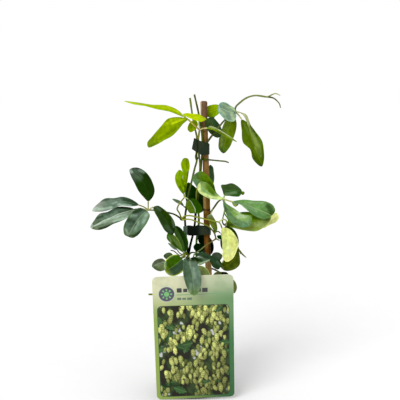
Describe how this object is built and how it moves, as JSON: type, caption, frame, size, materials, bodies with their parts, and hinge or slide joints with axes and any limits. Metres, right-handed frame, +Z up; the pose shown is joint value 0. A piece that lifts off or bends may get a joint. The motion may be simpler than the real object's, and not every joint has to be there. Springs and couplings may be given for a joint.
{
  "type": "potted climbing plant",
  "caption": "Young climbing plant with palmate leaves and twining stems, clipped to a bamboo cane in a small round pot with a plant card",
  "frame": {"origin": "centre of the pot's flat underside", "axes": "+Z up along the pot's axis; the card faces -Y; +X is to the right seen from the front"},
  "size_m": [0.2047, 0.1026, 0.3351],
  "materials": {
    "pot": "satin",
    "soil": "matte",
    "cane": "satin",
    "clip": "satin",
    "card": "satin",
    "stem": "satin",
    "leaf_crown": "satin",
    "leaf_tendril": "satin",
    "leaf_right": "satin",
    "leaf_drooping": "satin",
    "leaf_left": "satin",
    "leaf_inner": "satin",
    "leaf_lower": "satin",
    "leaf_back": "satin"
  },
  "bodies": {
    "root": {"pot": "pot", "soil": "soil", "cane": "cane", "clip_upper": "clip", "clip_lower": "clip", "label_card": "card", "stem_left": "stem", "stem_front": "stem", "stem_pale": "stem", "stem_back": "stem", "crown_leaflet_1": "leaf_crown", "crown_leaflet_2": "leaf_crown", "crown_leaflet_3": "leaf_crown", "crown_leaflet_4": "leaf_crown", "crown_leaflet_5": "leaf_crown", "tendril_leaflet_1": "leaf_tendril", "tendril_leaflet_2": "leaf_tendril", "tendril_leaflet_3": "leaf_tendril", "tendril_leaflet_4": "leaf_tendril", "tendril_leaflet_5": "leaf_tendril", "tendril_leaflet_6": "leaf_tendril", "right_leaflet_1": "leaf_right", "right_leaflet_2": "leaf_right", "right_leaflet_3": "leaf_right", "right_leaflet_4": "leaf_right", "right_leaflet_5": "leaf_right", "right_leaflet_6": "leaf_right", "drooping_leaflet_1": "leaf_drooping", "drooping_leaflet_2": "leaf_drooping", "drooping_leaflet_3": "leaf_drooping", "drooping_leaflet_4": "leaf_drooping", "left_leaflet_1": "leaf_left", "left_leaflet_2": "leaf_left", "left_leaflet_3": "leaf_left", "left_leaflet_4": "leaf_left", "left_leaflet_5": "leaf_left", "inner_leaflet_1": "leaf_inner", "inner_leaflet_2": "leaf_inner", "inner_leaflet_3": "leaf_inner", "inner_leaflet_4": "leaf_inner", "inner_leaflet_5": "leaf_inner", "lower_leaflet_1": "leaf_lower", "lower_leaflet_2": "leaf_lower", "lower_leaflet_3": "leaf_lower", "lower_leaflet_4": "leaf_lower", "lower_leaflet_5": "leaf_lower", "lower_leaflet_6": "leaf_lower", "lower_leaflet_7": "leaf_lower", "lower_leaflet_8": "leaf_lower", "lower_leaflet_9": "leaf_lower", "lower_leaflet_10": "leaf_lower", "lower_leaflet_11": "leaf_lower", "back_leaflet_1": "leaf_back", "back_leaflet_2": "leaf_back", "back_leaflet_3": "leaf_back", "back_leaflet_4": "leaf_back", "back_leaflet_5": "leaf_back", "back_leaflet_6": "leaf_back", "back_leaflet_7": "leaf_back"}
  },
  "joints": []
}
